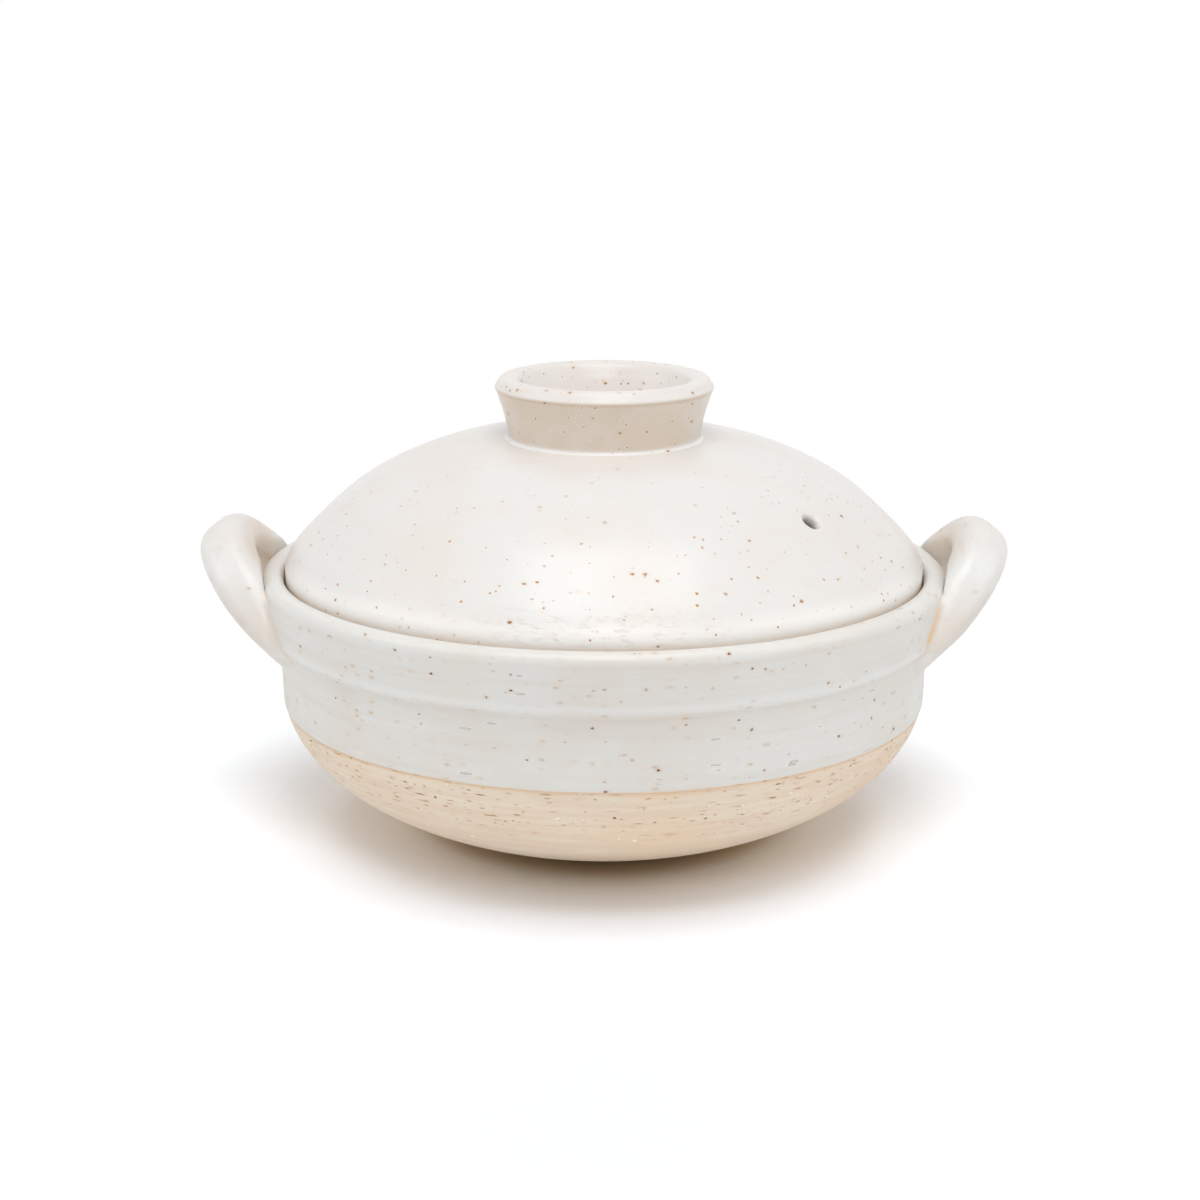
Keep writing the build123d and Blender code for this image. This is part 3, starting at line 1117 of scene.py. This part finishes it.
lidLook.update({
    "glaze": "e5e3e1",
    "cloud": "e5dfda",
    "thin": "e3dbd4",
    "thinGlazeAndPaintedShade": "e6cdb2",
    "thinGlazeAndPaintedShadeStrength": 0.7,
    "lineCount": 300.0,
    "lineStrength": 0.15,
    "brushStrength": 0.1,
    "pooledAndPaintedLight": "f6f3ef",
    "pooledAndPaintedLightStrength": 0.85,
    "speckFade": (0.116, 0.142),  # metres up the lid, where the specks grow faint
    "specks": speckKinds(
        (340.0, 0.52, 0.21, 1.0, 0.1, 0.35, "bb8644", 0.95, "efe6dc", 0.5),
        (230.0, 0.13, 0.2, 1.5, 0.5, 0.5, "9a6426", 1.0, "e6c8a4", 0.4),
    ),
    "dimples": [
        {"middle": (0.0, -0.108, 0.102), "reach": (0.06, 0.03, 0.010), "scale": 230.0, "flatten": 1.8,
         "strength": 0.3, "colour": "d6cbc0", "depth": 0.5},
    ],
})
ringLook = dict(lidLook)
ringLook.update({
    "glaze": "e5e0dc",
    "cloud": "e4ded9",
    "specks": [dict(lidLook["specks"][0], share=0.8), dict(lidLook["specks"][1], share=0.35)],
    "thinGlazeAndPaintedShade": "dfd1c0",
    "thinGlazeAndPaintedShadeStrength": 1.0,
    "thinGlazeAndPaintedShadeUneven": 0.55,
    "speckFade": (1.0, 2.0),
    "pooledAndPaintedLight": "f4f4f2",
    "pooledAndPaintedLightStrength": 1.0,
    "rusty": "c8a57e",
    "rustyStrength": 0.4,
    "dimples": [],
})
handleLook = dict(potLook)
handleLook.update({
    "glaze": "e8e8e6",
    "cloud": "e6e1dd",
    "thinGlazeAndPaintedShade": "dcc6b0",
    "thinGlazeAndPaintedShadeStrength": 0.8,
    "specks": [dict(potLook["specks"][0], share=0.12)],
})

for piece, material in (
    (potPiece, glazeMaterial("potGlaze", potLook)),
    (rightHandle, glazeMaterial("handleGlaze", handleLook)),
    (leftHandle, bpy.data.materials["handleGlaze"]),
    (lidPiece, glazeMaterial("lidGlaze", lidLook)),
    (ringPiece, glazeMaterial("ringGlaze", ringLook)),
):
    piece.data.materials.clear()
    piece.data.materials.append(material)
print("glazes made:", len(bpy.data.materials))


# Floor, light and camera

studio = {
    "floorReach": 60.0,  # metres
    "shadowReach": 0.40,  # metres from the pot to where the floor is plain white
    "shadowShare": 0.45,  # share of that reach where it begins to whiten
    "floorColour": (0.96, 0.955, 0.95, 1.0),
    # The same paper as the camera sees it, by metres from the middle: a painted shadow, brown under the pot,
    # then grey, then over-exposed
    "floorGain": 1.5,
    "floorSeenPaintedShadow": [(0.045, "a98a68"), (0.060, "d2b999"), (0.074, "e6e0d7"), (0.090, "dcd9d7"),
                  (0.110, "e8eaee"), (0.140, "f1f4f8")],
    # Painted shade: the floor is darker in front for the camera
    "floorFrontPaintedShade": 0.28,  # how much less of it the camera sees in front, where the front light falls
    "skyStrength": 0.3,
    "skyColour": (1.0, 0.995, 0.985, 1.0),
    "skySeen": (1.0, 1.0, 1.0, 1.0),
    "skySides": 1.75,  # how much brighter the sky is at the left and right
    "lamps": {
        "topSoftbox": {"place": (0.03, -0.36, 1.36), "size": (1.0, 0.65), "power": 7.0},
        "frontSoftbox": {"place": (0.12, -1.2, 1.25), "size": (0.7, 0.5), "power": 4.9},
        "leftSoftbox": {"place": (-1.3, -0.3, 0.9), "size": (0.9, 0.9), "power": 2.9},
        "rightSoftbox": {"place": (1.3, -0.3, 0.9), "size": (0.9, 0.9), "power": 2.6},
    },
    "lampAim": (0, 0, 0.08),
}


def emptyTree(holder):
    holder.use_nodes = True
    holder.node_tree.nodes.clear()
    return holder.node_tree


def makeFloor():
    mesh = bpy.data.meshes.new("floor")
    reach = studio["floorReach"]
    corners = [(-reach, -reach, 0), (reach, -reach, 0), (reach, reach, 0), (-reach, reach, 0)]
    mesh.from_pydata(corners, [], [(0, 1, 2, 3)])
    floor = addObject("floor", mesh)
    material = bpy.data.materials.new("paleFloor")
    mesh.materials.append(material)
    tree = emptyTree(material)
    path = tree.nodes.new("ShaderNodeLightPath").outputs
    place = tree.nodes.new("ShaderNodeTexCoord").outputs["Object"]
    away = vectorMaths("LENGTH", place)
    # The camera sees a painted shadow: the paper brown under the pot, then grey, then white
    seenPaintedShadow = studio["floorSeenPaintedShadow"][0][1]
    for (low, _), (high, tone) in zip(studio["floorSeenPaintedShadow"], studio["floorSeenPaintedShadow"][1:]):
        seenPaintedShadow = blendColour(remap(away, low, high), seenPaintedShadow, tone)
    # Painted shade: the floor seen in front is darker
    ahead = maths("MINIMUM", maths("DIVIDE", separate(place)[1], away), 0.0)
    dimmed = maths("SUBTRACT", 1.0, times(ahead, ahead, studio["floorFrontPaintedShade"]))
    seenPaintedShadow = vectorMaths("MULTIPLY", seenPaintedShadow, times(dimmed, studio["floorGain"]))
    colour = blendColour(path["Is Camera Ray"], studio["floorColour"], seenPaintedShadow)
    paper = addNode("ShaderNodeBsdfDiffuse", {"Color": colour})
    white = tree.nodes.new("ShaderNodeEmission")
    put(white.inputs["Strength"], 1.0)
    seen = maths("MAXIMUM", path["Is Camera Ray"], path["Is Glossy Ray"])
    plain = remap(away, studio["shadowReach"] * studio["shadowShare"], studio["shadowReach"])
    mix = addNode("ShaderNodeMixShader", {0: times(plain, seen), 1: paper.outputs[0], 2: white.outputs[0]})
    put(tree.nodes.new("ShaderNodeOutputMaterial").inputs["Surface"], mix.outputs[0])


def makeSky():
    scene.world = bpy.data.worlds.new("whiteRoom")
    tree = emptyTree(scene.world)
    path = tree.nodes.new("ShaderNodeLightPath").outputs
    across = separate(tree.nodes.new("ShaderNodeTexCoord").outputs["Generated"])[0]
    brighter = maths("ADD", 1.0, times(across, across, studio["skySides"]))
    seen = maths("MAXIMUM", path["Is Camera Ray"], path["Is Glossy Ray"])
    light = addNode("ShaderNodeBackground", {
        "Color": blendColour(seen, studio["skyColour"], studio["skySeen"]),
        "Strength": remap(seen, 0.0, 1.0, times(brighter, studio["skyStrength"]), 1.0),
    })
    put(tree.nodes.new("ShaderNodeOutputWorld").inputs["Surface"], light.outputs[0])


def makeLight(name, facts):
    data = bpy.data.lights.new(name, "AREA")
    data.shape = "RECTANGLE"
    data.size, data.size_y = facts["size"]
    data.energy = facts["power"]
    lamp = addObject(name, data)
    lamp.location = facts["place"]
    lamp.rotation_euler = (Vector(studio["lampAim"]) - lamp.location).to_track_quat("-Z", "Y").to_euler()


makeFloor()
makeSky()
for label, facts in studio["lamps"].items():
    makeLight(label, facts)

view = {
    "distance": 0.880,  # metres, from the aim point
    "aimHeight": 0.0826,
    "elevation": 14.6,
    "lens": 71.28,
    "roll": 0.17,  # degrees
    "shift": -0.0032,
    "sensor": 36,  # width, millimetres
    "farthest": 200,  # metres
}


def makeCamera():
    data = bpy.data.cameras.new("camera")
    data.sensor_width = view["sensor"]
    data.lens = view["lens"]
    data.shift_x = view["shift"]
    data.clip_end = view["farthest"]
    camera = addObject("camera", data)
    rise, far = math.radians(view["elevation"]), view["distance"]
    camera.location = (0, -far * math.cos(rise), view["aimHeight"] + far * math.sin(rise))
    way = Vector((0, 0, view["aimHeight"])) - camera.location
    turned = way.to_track_quat("-Z", "Y").to_matrix() @ Matrix.Rotation(math.radians(view["roll"]), 3, "Z")
    camera.rotation_euler = turned.to_euler()
    scene.camera = camera


makeCamera()
scene.view_settings.view_transform = "Standard"
print("studio ready")
